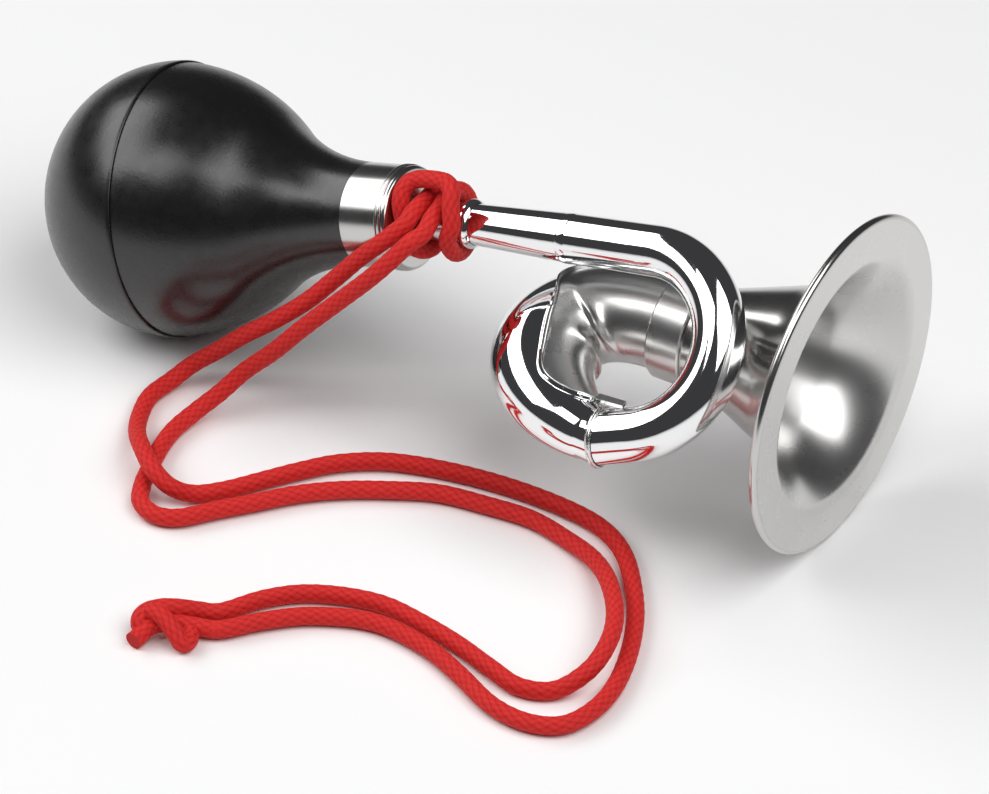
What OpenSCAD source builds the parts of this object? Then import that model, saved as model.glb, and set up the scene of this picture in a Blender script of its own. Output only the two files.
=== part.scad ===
// Bulb horn: a squeezed rubber bulb blows a brass reed, and a once-coiled tube leads to a flared bell.
// Lengths are in millimetres. It lies on its bulb and its bell's rim, with +X out of the bell's mouth
// and +Z up. Places are first worked out from the middle of the mouth, on the table, and then shifted.

/* [Bell] */
// Outside radius of the rolled rim
bell_r = 37.8; // [35:0.1:42]
// Radius where the flare turns into the flat flange
bowl_r = 26.5; // [24:0.5:29]
// Length of the curved flare
flare_len = 32; // [28:0.5:38]
// Sharpness of the flare, a power of its length
flare_power = 1.6; // [1.3:0.1:2]
// Outside radius of the turn between flare and flange
flare_fillet = 3; // [2:0.5:4]
// Outside radius of the narrow end
throat_r = 11.4; // [10.8:0.1:12]
// Length of the plain narrow end
throat_len = 4; // [3:0.5:6]
// Thickness of the bell's sheet
bell_sheet = 0.9; // [0.6:0.1:1.2]
// Radius of the rolled bead at the rim
rim_bead = 1; // [0.8:0.1:1.3]
// Length of the sleeve that joins bell and elbow
sleeve_len = 8; // [6:0.5:10]
// Thickness of the sleeve
sleeve_wall = 0.8; // [0.6:0.1:1.2]

/* [Bulb] */
// Radius of the round back of the bulb
bulb_r = 30.4; // [29:0.2:32]
// Distance from the mouth of the bell back to the middle of the bulb
bulb_back = 161; // [158:0.5:164]
// Distance of the bulb's middle in front of the bell's axis
bulb_front_of = 9.5; // [8:0.5:11]
// Upward tilt of the bulb's axis toward the bell
bulb_pitch = 16.5; // [16:0.5:17]
// Turn of the bulb's axis, seen from above
bulb_yaw = 0.5; // [-1:0.5:2]
// How much narrower the front of the bulb is than its round back
front_step = 0.7; // [0.4:0.1:1]
// Distance of the widest place of the front behind the bulb's middle
front_from = 3; // [2.5:0.1:3.5]
// Radius of the long front of the bulb, along its length
front_arc = 44.5; // [43:0.5:45]
// Radius of the hollow where the bulb runs into its neck
neck_fillet = 40; // [36:1:41]
// Thickness of the rubber
bulb_wall = 2.6; // [2:0.1:3.2]
// Distance of the moulding seam ahead of the bulb's middle
seam_at = 2.6; // [1:0.2:5]
// Depth of the seam's groove
seam_groove = 0.5; // [0.3:0.1:0.8]
// How far a full squeeze pushes the back of the bulb in
squeeze = 10; // [6:1:10]

/* [Ferrule] */
// Outside radius of the ferrule and of the rubber beside it
ferrule_r = 11.3; // [10.8:0.1:11.8]
// Distance from the bulb's middle to the ferrule
ferrule_at = 50; // [49:0.5:51]
// Length of the ferrule
ferrule_len = 11; // [10:0.5:12]
// Thickness of the ferrule's sheet
ferrule_wall = 0.9; // [0.7:0.1:1.1]
// Thickness of the cap's end wall
cap_wall = 1.2; // [1:0.1:1.5]
// Rounding of the cap's edge
cap_round = 0.9; // [0.6:0.1:1]
// Outside radius of the nipple inside the rubber neck
nipple_r = 6.4; // [6:0.1:6.8]
// Length of the nipple
nipple_len = 9; // [8:0.5:10]
// Outside radius of the spigot that carries the lanyard
spigot_r = 4.4; // [4.2:0.1:4.4]
// Length of the spigot
spigot_len = 10; // [9.5:0.5:10]

/* [Reed] */
// Radius of the shallot, the half tube under the tongue
shallot_r = 3.2; // [2.8:0.1:3.4]
// Length of the shallot that stands out toward the bulb
shallot_len = 22; // [18:1:24]
// Height of the shallot's flat above its axis
shallot_flat = 0.6; // [0.3:0.1:1]
// Thickness of the shallot's brass
shallot_wall = 0.9; // [0.7:0.1:1.1]
// Width of the air slot in the flat
slot_w = 2; // [1.5:0.1:2.4]
// Length of the tongue that beats
tongue_len = 18; // [14:0.5:20]
// Width of the tongue
tongue_w = 4.4; // [3.6:0.1:4.8]
// Thickness of the tongue
tongue_t = 0.3; // [0.2:0.05:0.4]
// Angle by which the tongue stands open
tongue_open = 2.6; // [2:0.1:3.5]
// Height of the wedge that holds the tongue's root
wedge_h = 1.7; // [1.4:0.1:2]
// Length of the wedge
wedge_len = 3.4; // [3:0.1:4]

/* [Tube] */
// Distance from the bulb's middle to the start of the neck tube
hub_at = 73; // [72.5:0.5:74]
// Upward tilt of the neck tube
neck_pitch = 12; // [11:0.5:13]
// Turn of the neck tube, seen from above
neck_yaw = 1.5; // [0.5:0.5:2.5]
// Length of the straight neck tube
neck_len = 29; // [26:0.5:31]
// Outside radius of the neck tube where it starts
neck_r0 = 4.3; // [4.1:0.1:4.5]
// Outside radius of the neck tube where it ends
neck_r1 = 5.4; // [5:0.1:5.6]
// Thickness of the tubes' walls
tube_wall = 0.8; // [0.6:0.1:1]
// Radius of the bead collar
collar_r = 5.4; // [5.2:0.1:5.6]
// Length of the bead collar
collar_len = 3.6; // [3:0.1:4]
// Straight start of the front bend
bend_lead = 20.8; // [19:0.2:22]
// Radius of the front bend's middle line
bend_r = 19.8; // [19.4:0.1:20.6]
// Angle that the front bend turns through
bend_sweep = 168; // [162:1:174]
// Straight end of the front bend
bend_tail = 7.5; // [6:0.5:9]
// Lean of the front bend from upright, toward the front
bend_tilt = 43.5; // [40:0.5:47]
// Outside radius of the front bend where it ends
bend_r1 = 6; // [5.8:0.1:6.3]
// Inward turn of the elbow's start at the joint
elbow_turn = 2; // [0:1:6]
// How far the elbow runs straight on from the joint, as a pull on its curve
elbow_pull0 = 34.4; // [33:0.2:36]
// How far the elbow runs straight back from the bell, as a pull on its curve
elbow_pull1 = 36.6; // [35:0.2:38]
// How early the elbow widens, a power of its length
elbow_power = 0.7; // [0.6:0.1:1]
// How far the inside of the elbow is pressed out at its middle
elbow_swell = 8; // [6:0.5:8.5]
// Outside radius of the elbow where it meets the bell
elbow_r1 = 11.3; // [10.8:0.1:11.3]
// Height of the lip along the elbow's seam
lip_h = 1; // [0.8:0.1:1.4]
// Thickness of each half of the lip
lip_t = 0.5; // [0.4:0.1:0.7]
// Height of the lip's wide end at the joint
tab_h = 2; // [1.6:0.2:2.4]
// Thickness of a solder bead
solder_t = 0.4; // [0.3:0.1:0.6]
// Width of a solder bead
solder_w = 1.4; // [1.2:0.1:1.8]

/* [Lanyard] */
// Diameter of the cord
cord_d = 4.5; // [4.3:0.1:4.6]
// Diameter of the cord where the hitch squeezes it
hitch_d = 4; // [3.8:0.1:4]
// Distance from the bulb's middle to the middle of the hitch
hitch_at = 71; // [70.9:0.1:71.1]
// Distance of the wrapped cord's middle line from the neck's axis
hitch_r = 6.75; // [6.7:0.05:6.9]
// Distance of the crossing bar's middle line from the neck's axis
bar_r = 11.5; // [11.4:0.1:11.8]

/* [Fits] */
// Gap between pieces that are pushed together
fit = 0.1; // [0.05:0.05:0.15]
// Gap around pieces that move
run = 0.3; // [0.25:0.05:0.4]

/* [Hidden] */
$fn = 64;

rubber = [0.07, 0.07, 0.075];
nickel = [0.72, 0.7, 0.67];
chrome = [0.85, 0.86, 0.88];
brass = [0.8, 0.62, 0.28];
solder = [0.78, 0.78, 0.78];
cork = [0.62, 0.45, 0.28];
red = [0.8, 0.09, 0.08];

sides = 20;      // sides of a swept tube
half_sides = 14; // sides of half a tube
cord_sides = 10;
wound_sides = 6;

// Vectors
function unit(v) = v / norm(v);
function heading(pitch, yaw) = [cos(pitch) * cos(yaw), cos(pitch) * sin(yaw), sin(pitch)];
function mix(a, b, t) = a + (b - a) * t;
function square_to(v, t) = unit(v - (v * t) * t);

// Bulb and tube axes
bulb_c = [-bulb_back, -bulb_front_of, bulb_r];
bulb_axis = heading(bulb_pitch, bulb_yaw);
neck_axis = heading(neck_pitch, neck_yaw);
hub = bulb_c + hub_at * bulb_axis;
neck_end = hub + neck_len * neck_axis;

// Front bend, which leans toward the front
bend_in = neck_end + bend_lead * neck_axis;
bend_down = square_to([0, 0, -1], neck_axis);
bend_side = cross(bend_down, neck_axis);
bend_inward = cos(bend_tilt) * bend_down + sin(bend_tilt) * bend_side;
bend_c = bend_in + bend_r * bend_inward;
bend_dir = cos(bend_sweep) * neck_axis + sin(bend_sweep) * bend_inward;
function bend_at(a) = bend_c - bend_r * cos(a) * bend_inward + bend_r * sin(a) * neck_axis;
bend_steps = 18;
joint_p = bend_at(bend_sweep) + bend_tail * bend_dir;
bend_path = concat([neck_end + fit * neck_axis, bend_in - 0.3 * bend_lead * neck_axis],
                   [for (i = [0:bend_steps]) bend_at(bend_sweep * i / bend_steps)], [joint_p]);

// Bell's outline
flare_slope = flare_power * (bowl_r - throat_r) / flare_len;
flare_angle = atan(flare_slope);

// Elbow, one curve from the joint to the bell's axis
back = [-1, 0, 0];
throat_x = -(flare_len + throat_len + bell_sheet + flare_fillet * (1 - sin(flare_angle)));
elbow_out = unit([0, joint_p.y, joint_p.z - bell_r]);
elbow_up = cross(elbow_out, [1, 0, 0]);
elbow_dir = cos(elbow_turn) * back - sin(elbow_turn) * elbow_out;
elbow_end = [throat_x - fit, 0, bell_r];
pulls = [joint_p, joint_p + elbow_pull0 * elbow_dir, elbow_end + elbow_pull1 * back, elbow_end];
function elbow_at(t) = let (s = 1 - t) s * s * s * pulls[0] + 3 * s * s * t * pulls[1]
    + 3 * s * t * t * pulls[2] + t * t * t * pulls[3];
function elbow_way(t) = let (s = 1 - t) unit(s * s * (pulls[1] - pulls[0]) + 2 * s * t * (pulls[2] - pulls[1])
    + t * t * (pulls[3] - pulls[2]));
mitre = unit(bend_dir + elbow_dir);
mitre_r = bend_r1 / (mitre * elbow_dir);
mitre_lean = sqrt(mitre_r * mitre_r - bend_r1 * bend_r1);
lip_off = 0.8; // from the solder to the lip's end
lip_first = (mitre_lean + solder_w / 2 + lip_off) / (3 * elbow_pull0);
lip_last = 1 - (sleeve_len - throat_len + 0.6) / (3 * elbow_pull1);
lip_edge = 0.003;
elbow_steps = 30;
elbow_ts = concat([0, lip_first], [for (i = [0:elbow_steps])
    mix(lip_first + lip_edge, lip_last - lip_edge, i / elbow_steps)], [lip_last, 1]);
elbow_path = [for (t = elbow_ts) elbow_at(t)];
elbow_ways = [for (t = elbow_ts) elbow_way(t)];

// Along the elbow, by the share of its length: the seam's angle from the inside, the share of the swell,
// and the share of the lip's wide end
seam_keys = [[0, 15], [0.016, 38], [0.034, 58], [0.064, 70], [0.1, 78], [0.15, 85], [0.2, 87], [0.24, 83],
    [0.3, 73], [0.35, 68], [0.42, 67], [0.49, 72], [0.54, 80], [0.58, 93], [0.62, 120], [0.66, 138],
    [0.75, 150], [1, 150]];
swell_keys = [[0, 0], [0.06, 0.35], [0.12, 0.65], [0.2, 0.86], [0.3, 1], [0.4, 1], [0.5, 0.91], [0.6, 0.5],
    [0.7, 0.12], [0.8, 0], [1, 0]];
tab_keys = [[0, 1], [0.03, 0.3], [0.06, 0], [1, 0]];
swell_turn = -8; // where the swell is deepest, from the inside

// Bulb's outline: a round back, a longer front and a hollow running into the neck
front_r0 = bulb_r - front_step;
fillet_run = sqrt(pow(front_arc + neck_fillet, 2)
    - pow(front_arc - front_r0 + ferrule_r + neck_fillet, 2));
fillet_at = fillet_run - front_from;
front_end = fillet_run * front_arc / (front_arc + neck_fillet);
ferrule_end = ferrule_at + ferrule_len;
cap_end = ferrule_end + cap_wall;
rubber_r = ferrule_r - ferrule_wall - fit;
bore_r = nipple_r + fit;
bush_r = nipple_r - 1.2;
reed_root = ferrule_end - nipple_len;

// Sweeps: rings of points carried along a path without twist
function tangents(p) = [for (i = [0:len(p) - 1])
    unit(p[min(i + 1, len(p) - 1)] - p[max(i - 1, 0)])];
function carried(t, u, i = 0) = i == len(t) ? [] :
    let (v = square_to(u, t[i])) concat([v], carried(t, v, i + 1));
function any_side(t) = square_to(abs(t.z) < 0.8 ? [0, 0, 1] : [1, 0, 0], t);
function ring(c, u, v, r, n) = [for (k = [0:n - 1]) c + r * (cos(360 * k / n) * u + sin(360 * k / n) * v)];
function onto(p, t, c, plane) = p + t * (((c - p) * plane) / (t * plane));
function flat_fan(first, n, turn) = [for (k = [1:n - 2])
    turn ? [first, first + k, first + k + 1] : [first, first + k + 1, first + k]];
function bands(rings, n) = [for (i = [0:rings - 2], k = [0:n - 1], half = [0, 1])
    let (a = i * n + k, b = i * n + (k + 1) % n) half == 0 ? [a, b + n, b] : [a, a + n, b + n]];

// A solid cord along a path, square to the given directions
module cord_along(path, t, d, n) {
    u = carried(t, any_side(t[0]));
    points = [for (i = [0:len(path) - 1]) each ring(path[i], u[i], cross(t[i], u[i]), d / 2, n)];
    last = (len(path) - 1) * n;
    polyhedron(points, concat(flat_fan(0, n, true), bands(len(path), n), flat_fan(last, n, false)));
}

// A run of cord between two neighbours, cut square to the line that goes on into them
module cord_between(before, path, after, d, n) {
    whole = tangents(concat([before], path, [after]));
    t = [for (i = [1:len(path)]) whole[i]];
    last = len(path) - 1;
    cut = [for (i = [0:last]) path[i] + 2 * run * (i == 0 ? 1 : i == last ? -1 : 0) * t[i]];
    cord_along(cut, t, d, n);
}

// Smooth curve through key points, with steps between each pair
function curve_point(a, b, c, d, t) = 0.5 * ((2 * b) + (c - a) * t + (2 * a - 5 * b + 4 * c - d) * t * t
    + (3 * b - a - 3 * c + d) * t * t * t);
function curve(p, steps) = concat([for (i = [1:len(p) - 3], k = [0:steps - 1])
    curve_point(p[i - 1], p[i], p[i + 1], p[i + 2], k / steps)], [p[len(p) - 2]]);

// Local frames: z runs along the axis toward the bell's mouth
module in_frame() { translate(frame_shift) children(); }
module on_bulb() { in_frame() translate(bulb_c) rotate([0, 90 - bulb_pitch, bulb_yaw]) children(); }
module on_neck() { in_frame() translate(hub) rotate([0, 90 - neck_pitch, neck_yaw]) children(); }
module on_bell() { in_frame() translate([0, 0, bell_r]) rotate([0, 90, 0]) children(); }

// Rubber bulb
outline_steps = 24;
function bulb_back_line(r, inset) = [for (i = [0:outline_steps])
    let (a = -90 + (90 + asin((seam_at - inset) / r)) * i / outline_steps) [r * cos(a), r * sin(a)]];
function front_line(inset) = let (first = asin((seam_at + front_from) / front_arc),
    last = asin(front_end / front_arc)) [for (i = [0:outline_steps])
        let (a = mix(first, last, i / outline_steps), r = front_arc - inset)
        [front_r0 - front_arc + r * cos(a), r * sin(a) - front_from]];
function neck_line(inset) = let (last = asin(front_end / front_arc), r = neck_fillet + inset)
    [for (i = [1:outline_steps]) let (a = last * (1 - i / outline_steps))
        [ferrule_r + neck_fillet - r * cos(a), fillet_at - r * sin(a)]];
function reversed(p) = [for (i = [len(p) - 1:-1:0]) p[i]];

module bulb_rear() {
    color(rubber) on_bulb() rotate_extrude()
        polygon(concat(bulb_back_line(bulb_r, 2 * seam_groove),
                       [[bulb_r - seam_groove, seam_at - fit / 2], [bulb_r - bulb_wall, seam_at - fit / 2]],
                       reversed(bulb_back_line(bulb_r - bulb_wall, 2 * seam_groove))));
}

module bulb_front() {
    outer = [for (p = concat(front_line(0), neck_line(0))) if (p.y > seam_at + seam_groove) p];
    inner = [for (p = concat(front_line(bulb_wall), neck_line(bulb_wall))) if (p.y > seam_at + seam_groove) p];
    color(rubber) on_bulb() rotate_extrude()
        polygon(concat([[front_r0 - bulb_wall, seam_at + fit / 2], [front_r0 - seam_groove, seam_at + fit / 2]],
                       outer, [[ferrule_r, ferrule_at - fit], [rubber_r, ferrule_at - fit],
                               [rubber_r, ferrule_end - fit], [bore_r, ferrule_end - fit], [bore_r, ferrule_at]],
                       reversed(inner)));
}

// Sheet ferrule over the rubber neck, with two fine beads near its end
module bulb_ferrule() {
    bead = 0.25;
    color(nickel) on_bulb() rotate_extrude() difference() {
        union() {
            translate([ferrule_r - ferrule_wall, ferrule_at]) square([ferrule_wall, ferrule_len]);
            for (k = [1, 3]) translate([ferrule_r - bead / 2, ferrule_end - k * 2 * bead]) circle(bead, $fn = 24);
        }
        translate([0, ferrule_end]) square([2 * ferrule_r, ferrule_len]);
    }
}

// Cap that closes the ferrule, with its nipple inside and its spigot outside
module ferrule_cap() {
    color(nickel) on_bulb() difference() {
        union() {
            rotate_extrude() difference() {
                union() {
                    translate([0, ferrule_end]) square([ferrule_r - cap_round, cap_wall]);
                    translate([0, ferrule_end]) square([ferrule_r, cap_wall - cap_round]);
                    translate([ferrule_r - cap_round, cap_end - cap_round]) circle(cap_round, $fn = 32);
                }
                translate([0, ferrule_end + fit - ferrule_len]) square([2 * ferrule_r, ferrule_len]);
            }
            translate([0, 0, reed_root]) cylinder(r = nipple_r, h = nipple_len + cap_wall / 2);
            translate([0, 0, cap_end - fit]) cylinder(r = spigot_r, h = spigot_len);
        }
        translate([0, 0, reed_root - 1]) cylinder(r = bush_r, h = nipple_len + 1);
        translate([0, 0, ferrule_end - 1]) cylinder(r = neck_r0 - tube_wall, h = spigot_len + cap_wall + 2);
    }
}

// Reed: a cork bush holds a brass half tube whose slot a springy tongue covers
module reed_bush() {
    color(cork) on_bulb() translate([0, 0, reed_root]) difference() {
        cylinder(r = bush_r - fit, h = nipple_len - fit);
        translate([0, 0, -1]) cylinder(r = shallot_r + fit, h = nipple_len + 2);
    }
}

module reed_shallot() {
    bore = shallot_r - shallot_wall;
    color(brass) on_bulb() translate([0, 0, reed_root]) difference() {
        translate([0, 0, -shallot_len]) cylinder(r = shallot_r, h = shallot_len + nipple_len - fit);
        translate([0, 0, shallot_wall - shallot_len]) cylinder(r = bore, h = shallot_len + nipple_len);
        translate([-2 * shallot_r, -shallot_r - 1, -shallot_len - 1])
            cube([2 * shallot_r - shallot_flat, 2 * shallot_r + 2, shallot_len + 1 - fit]);
    }
    // The flat, with the air slot cut through it
    color(brass) on_bulb() translate([0, 0, reed_root]) difference() {
        intersection() {
            translate([0, 0, -shallot_len]) cylinder(r = shallot_r, h = shallot_len - fit);
            translate([-shallot_flat - shallot_wall / 2, -shallot_r, -shallot_len])
                cube([shallot_wall, 2 * shallot_r, shallot_len - fit]);
        }
        translate([-2 * shallot_r - shallot_flat, -shallot_r - 1, -shallot_len - 1])
            cube([2 * shallot_r, 2 * shallot_r + 2, shallot_len + 1]);
        translate([-shallot_r, -slot_w / 2, -shallot_len + 2 * shallot_wall])
            cube([2 * shallot_r, slot_w, tongue_len - 2 * shallot_wall - 1]);
    }
}

tongue_root = reed_root - wedge_len - run;
module reed_tongue() {
    color(brass) on_bulb() translate([-shallot_flat - run / 2, -tongue_w / 2, tongue_root])
        rotate([0, tongue_open, 0]) translate([-tongue_t, 0, -tongue_len])
            cube([tongue_t, tongue_w, tongue_len]);
}

module reed_wedge() {
    color(brass) on_bulb() translate([-shallot_flat - wedge_h, -tongue_w / 2, reed_root - wedge_len - fit])
        cube([wedge_h, tongue_w, wedge_len]);
}

// Neck tube, its bead collar and the soldered lap behind the bend
module neck_tube() {
    color(chrome) on_neck() difference() {
        translate([0, 0, fit]) cylinder(r1 = neck_r0, r2 = neck_r1, h = neck_len - fit);
        translate([0, 0, -1]) cylinder(r1 = neck_r0 - tube_wall, r2 = neck_r1 - tube_wall, h = neck_len + 2);
    }
}

collar_at = 2.2; // distance of the collar from the start of the neck tube
module neck_collar() {
    widest = collar_len / 2;
    color(chrome) on_neck() translate([0, 0, collar_at]) rotate_extrude() difference() {
        translate([collar_r - widest, widest]) circle(widest, $fn = 40);
        square([neck_r0 + (neck_r1 - neck_r0) * (collar_at + collar_len) / neck_len + fit, collar_len]);
    }
}

module solder_bead(inside) {
    rotate_extrude() translate([inside, -solder_w / 2]) intersection() {
        translate([0, solder_w / 2]) scale(solder_w / 2) circle(1, $fn = 32);
        square([solder_t, solder_w]);
    }
}

module neck_solder() {
    color(solder) on_neck() translate([0, 0, neck_len]) solder_bead(neck_r1 + fit);
}

// Front bend: the tube turns down and back in a leaning half circle
bend_tangents = concat([for (i = [0:len(bend_path) - 2]) tangents(bend_path)[i]], [bend_dir]);
bend_normals = carried(bend_tangents, bend_inward);
function bend_ring(i, inset) = let (r = mix(neck_r1, bend_r1, i / (len(bend_path) - 1)) - inset,
    t = bend_tangents[i], c = bend_path[i],
    points = ring(c, bend_normals[i], cross(t, bend_normals[i]), r, sides))
    i < len(bend_path) - 1 ? points : [for (p = points) onto(p - fit * t, t, c - fit * t, mitre)];

module front_bend() {
    last = len(bend_path) - 1;
    count = (last + 1) * sides;
    outer = [for (i = [0:last]) each bend_ring(i, 0)];
    inner = [for (i = [0:last]) each bend_ring(i, tube_wall)];
    wall = bands(last + 1, sides);
    ends = [for (k = [0:sides - 1], half = [0, 1]) let (j = (k + 1) % sides)
        half == 0 ? [k, count + j, count + k] : [k, j, count + j]];
    far_ends = [for (k = [0:sides - 1], half = [0, 1]) let (a = last * sides + k, b = last * sides + (k + 1) % sides)
        half == 0 ? [a, count + a, count + b] : [a, count + b, b]];
    color(chrome) in_frame() polyhedron(concat(outer, inner),
        concat(wall, [for (f = wall) [f[0] + count, f[2] + count, f[1] + count]], ends, far_ends));
}

module bend_solder() {
    toward = mitre;
    color(solder) in_frame() translate(joint_p)
        rotate([0, acos(toward.z), atan2(toward.y, toward.x)]) solder_bead(mitre_r + 2 * fit);
}

// Elbow: two stamped half shells, soldered along a lip that winds from the inside to the top
function path_lengths(p, i = 0, sum = 0) = i == len(p) ? [] :
    let (s = sum + (i == 0 ? 0 : norm(p[i] - p[i - 1]))) concat([s], path_lengths(p, i + 1, s));
elbow_run = path_lengths(elbow_path);
// Share of the way along the elbow, from the place where it leaves the solder
function elbow_share(i) = max(0, elbow_run[i] - elbow_run[1]) / (elbow_run[len(elbow_run) - 1] - elbow_run[1]);
function elbow_rad(i, turn) = let (share = elbow_share(i), toward = max(0, cos(turn - swell_turn)))
    mix(bend_r1, elbow_r1, pow(share, elbow_power)) + elbow_swell * lookup(share, swell_keys) * toward * toward;
function elbow_point(i, turn, rise) = elbow_path[i] + (elbow_rad(i, turn) + rise)
    * (cos(turn) * cross(elbow_ways[i], elbow_up) + sin(turn) * elbow_up);
function lip_at(i) = i < 2 || i > len(elbow_path) - 3 ? fit / 2 :
    mix(lip_h, tab_h, lookup(elbow_share(i), tab_keys));
function elbow_section(i, half) = let (seam = lookup(elbow_share(i), seam_keys), r = elbow_rad(i, seam),
    gap = 180 / PI * fit / 2 / r, lip = 180 / PI * lip_t / r,
    way = half == 0 ? 1 : -1, first = seam + way * gap, end = seam + way * (180 - gap),
    arc = [for (k = [0:half_sides]) mix(first + way * lip, end, k / half_sides)],
    points = concat([elbow_point(i, first, -tube_wall), elbow_point(i, first, lip_at(i)),
                     elbow_point(i, first + way * lip, lip_at(i))],
                    [for (a = arc) elbow_point(i, a, 0)],
                    [for (k = [half_sides:-1:1]) elbow_point(i, arc[k], -tube_wall)]))
    i > 0 ? points : [for (p = points) onto(p + fit * elbow_dir, elbow_dir, joint_p + fit * elbow_dir, mitre)];

// The whole is shifted so that the box round it, without the lanyard, is centred over the origin
low_y = min([for (i = [0:len(elbow_path) - 1], half = [0, 1], p = elbow_section(i, half)) p.y]);
frame_shift = [(bulb_back + bulb_r) / 2, -(bell_r + low_y) / 2, 0];

module elbow_shell(half) {
    n = 2 * half_sides + 4;
    // End faces: the lip's tab, then strips between the outer and the inner arc
    tab = [[0, 1, 3], [1, 2, 3]];
    inner = concat([0], [for (k = [1:half_sides]) n - k]);
    strips = [for (k = [0:half_sides - 1], part = [0, 1])
        part == 0 ? [inner[k], 3 + k, 4 + k] : [inner[k], 4 + k, inner[k + 1]]];
    facing = concat(tab, strips);
    caps = half == 0 ? [for (f = facing) [f[0], f[2], f[1]]] : facing;
    sections = [for (i = [0:len(elbow_path) - 1]) elbow_section(i, half)];
    last = (len(sections) - 1) * n;
    walls = bands(len(sections), n);
    sided = half == 0 ? [for (f = walls) [f[0], f[2], f[1]]] : walls;
    polyhedron([for (s = sections) each s],
        concat(caps, sided, [for (f = caps) [f[0] + last, f[2] + last, f[1] + last]]));
}

module elbow_outer_shell() {
    color(chrome) in_frame() elbow_shell(0);
}

module elbow_inner_shell() {
    color(nickel) in_frame() elbow_shell(1);
}

// Bell: sheet spun into a plain narrow end, a flare, a flat flange and a rolled rim
flare_steps = 20;
flare_end = -bell_sheet - flare_fillet * (1 - sin(flare_angle));
flare_start = flare_end - flare_len;
function flare_r(t) = throat_r + (bowl_r - throat_r) * pow(t, flare_power);
function flare_line(inset) = [for (i = [0:flare_steps]) let (t = i / flare_steps,
    a = atan(flare_slope * pow(t, flare_power - 1)))
    [flare_r(t) - inset * cos(a), flare_start + flare_len * t + inset * sin(a)]];
turn_c = [bowl_r + flare_fillet * cos(flare_angle), flare_end - flare_fillet * sin(flare_angle)];
function flare_turn(r) = [for (i = [1:8]) let (a = mix(flare_angle, 90, i / 8))
    turn_c + r * [-cos(a), sin(a)]];
rim_c = [bell_r - rim_bead, -rim_bead];

module bell() {
    outer = concat([[throat_r, throat_x]], flare_line(0), flare_turn(flare_fillet));
    inner = concat([[throat_r - bell_sheet, throat_x]], flare_line(bell_sheet),
                   flare_turn(flare_fillet + bell_sheet));
    color(nickel) on_bell() rotate_extrude() {
        polygon(concat(outer, [[rim_c.x, -bell_sheet], [rim_c.x, 0]], reversed(inner)));
        translate(rim_c) circle(rim_bead, $fn = 32);
    }
}

module throat_sleeve() {
    inside = throat_r + fit;
    color(nickel) on_bell() translate([0, 0, throat_x + throat_len - sleeve_len - fit]) difference() {
        cylinder(r = inside + sleeve_wall, h = sleeve_len);
        translate([0, 0, -1]) cylinder(r = inside, h = sleeve_len + 2);
    }
}

// Lanyard: one cord, hitched at its middle round the spigot and knotted at its ends.
// Routes start at the hitch and end at the knot.
rest_z = cord_d / 2; // height of the cord's middle line where it lies on the table
far_route = [[-97, -20, 55], [-101, -23, 50.5], [-106, -24, 45], [-112, -25, 37.5], [-118, -27, 30.5],
    [-125, -29, 24], [-132, -30, 18], [-139, -30, 11], [-145, -31, 5.5], [-148, -35, 2.5],
    [-149, -42, rest_z], [-147, -49, rest_z], [-143, -56, 4], [-137, -63, 7], [-131, -68, 7.25],
    [-126, -69, 5], [-122, -66, 2.5], [-117, -61, rest_z], [-112, -54, rest_z], [-107, -47, rest_z],
    [-101, -40, rest_z], [-92, -34, rest_z], [-79, -30, rest_z], [-65, -28, rest_z], [-51, -28, rest_z],
    [-41, -30, rest_z], [-33, -35, rest_z], [-26, -43, rest_z], [-20, -52, rest_z], [-15, -63, rest_z],
    [-12, -74, rest_z], [-12, -83, rest_z], [-15, -90, rest_z], [-22, -93, rest_z], [-31, -92, rest_z],
    [-42, -87, rest_z], [-53, -83, rest_z], [-66, -82, rest_z], [-78, -87, rest_z], [-86, -94, rest_z],
    [-92, -101, rest_z]];
near_route = [[-94, -23, 53], [-97, -26, 49], [-101, -28, 44], [-108, -29, 36], [-116, -31, 27],
    [-123, -32, 18.5], [-130, -33, 11], [-134, -37, 6], [-137, -42, 3], [-138, -49, rest_z],
    [-137, -56, rest_z], [-135, -63, rest_z], [-133, -69, rest_z], [-130, -74, rest_z], [-125, -76, rest_z],
    [-120, -74, rest_z], [-115, -68, rest_z], [-109, -61, rest_z], [-103, -54, rest_z], [-96, -48, rest_z],
    [-88, -43, rest_z], [-78, -38, rest_z], [-67, -36, rest_z], [-56, -35, rest_z], [-46, -37, rest_z],
    [-37, -41, 3.5], [-29, -48, 5.5], [-22, -57, 6.5], [-18, -66, 6.75], [-18, -74, 4.5],
    [-22, -81, rest_z], [-29, -84, rest_z], [-37, -82, rest_z], [-47, -79, rest_z], [-57, -77, rest_z],
    [-67, -76, rest_z], [-76, -78, rest_z], [-84, -82, rest_z], [-90, -88, rest_z], [-95, -96, rest_z]];

// Hitch: from the bar each end goes down in front, once round the neck and out under the bar.
// Keys are the distance along the axis, the degrees up from the front, and the share of the way out to the bar.
hitch_face = 235; // where the front of the hitch lies round the bulb's axis
hitch_left = [[-3.4, 44, 1], [-5.8, 34, 0.9], [-6.5, 18, 0.62], [-6.6, -8, 0.14], [-6.5, -40, 0.03],
    [-6.4, -75, 0], [-6.1, -110, 0], [-5.7, -145, 0], [-5.3, -180, 0], [-4.7, -215, 0], [-4, -250, 0],
    [-3, -285, 0], [-2.3, -316, 0], [-2.2, -340, 0.3], [-2.1, -358, 0.88]];
hitch_right = [[3.4, 44, 1], [6.2, 34, 0.9], [6.6, 18, 0.65], [6.6, -8, 0.34], [4.6, -35, 0.2],
    [3, -75, 0], [2.2, -110, 0], [1.6, -145, 0], [1.3, -180, 0], [1.3, -215, 0], [1.6, -250, 0],
    [2, -285, 0], [2.3, -316, 0], [2.3, -342, 0.12], [2.1, -362, 0.56], [1.5, -378, 1.05]];
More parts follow.
